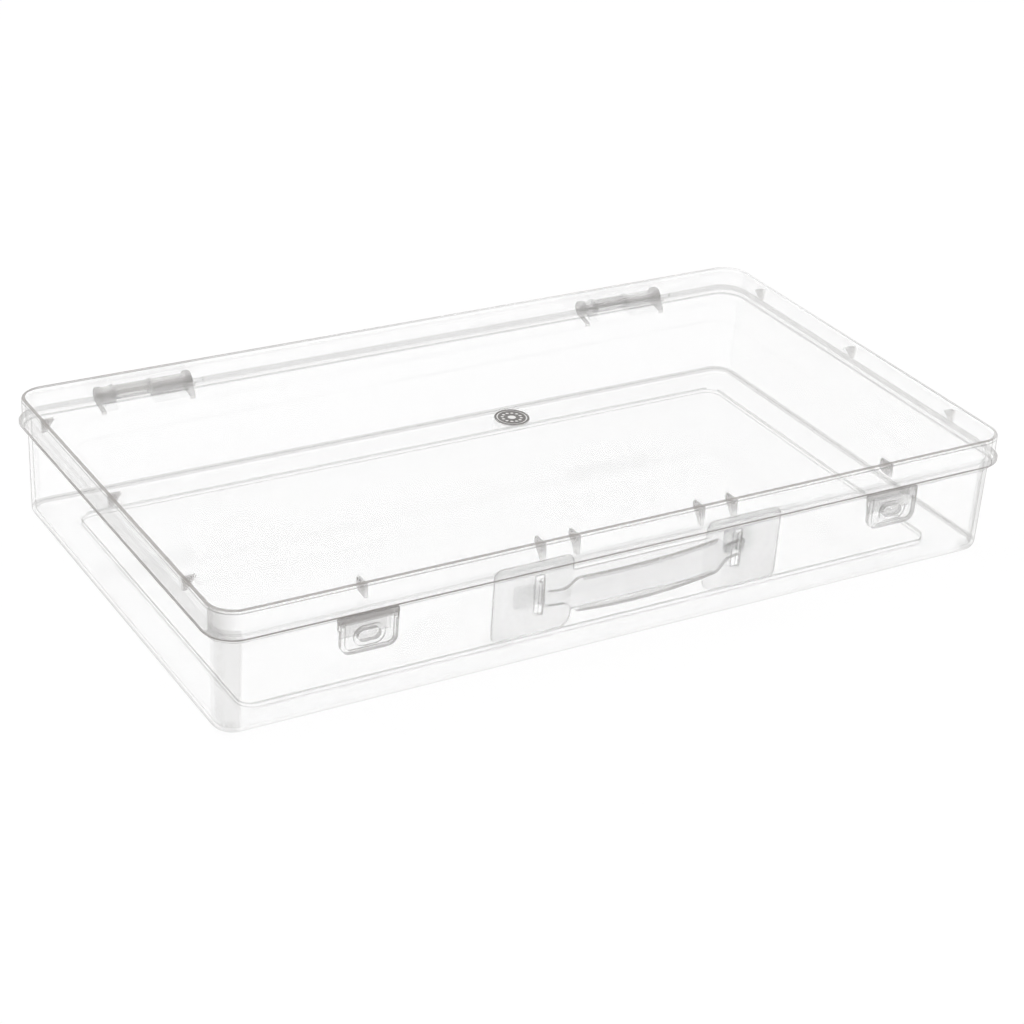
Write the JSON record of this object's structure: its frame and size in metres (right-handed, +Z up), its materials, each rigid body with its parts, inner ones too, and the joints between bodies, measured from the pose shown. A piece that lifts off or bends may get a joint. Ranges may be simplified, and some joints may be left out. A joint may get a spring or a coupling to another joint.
{
  "type": "keeper case",
  "caption": "Clear shallow box with a hinged lid, latch flaps at the front and a bowed carrying strap, for keeping photos or craft parts.",
  "frame": {"origin": "middle of the foot panel's flat underside, on the surface that the case stands on", "axes": "+X along the long side, -Y towards the latches and strap, +Y towards the hinges, +Z up out of the lid"},
  "size_m": [0.423, 0.2528, 0.064],
  "materials": {
    "clear": "water-clear polypropylene, glossy",
    "milky": "milky translucent polypropylene",
    "emblem": "dark stamped foil disc"
  },
  "bodies": {
    "base": {"base_tray": "clear", "handle_backplate": "milky", "hinge_pin_left": "milky", "hinge_pin_right": "milky"},
    "lid": {"lid_cover": "clear", "lid_medallion": "emblem"},
    "latch_left": {"latch_flap_left": "clear"},
    "latch_right": {"latch_flap_right": "clear"},
    "handle": {"handle_strap": "clear"}
  },
  "joints": [
    {"name": "lid_hinge", "type": "hinge", "parent": "base", "child": "lid", "pos_m": [0, 0.1236, 0.0506], "axis": [-1, 0, 0], "range_deg": [0, 180]},
    {"name": "latch_left_hinge", "type": "hinge", "parent": "lid", "child": "latch_left", "pos_m": [-0.14, -0.1196, 0.0487], "axis": [-1, 0, 0], "range_deg": [0, 80]},
    {"name": "latch_right_hinge", "type": "hinge", "parent": "lid", "child": "latch_right", "pos_m": [0.14, -0.1196, 0.0487], "axis": [-1, 0, 0], "range_deg": [0, 80]},
    {"name": "handle_pull", "type": "slide", "parent": "base", "child": "handle", "axis": [0, -1, 0], "range_m": [0, 0.0015]}
  ]
}
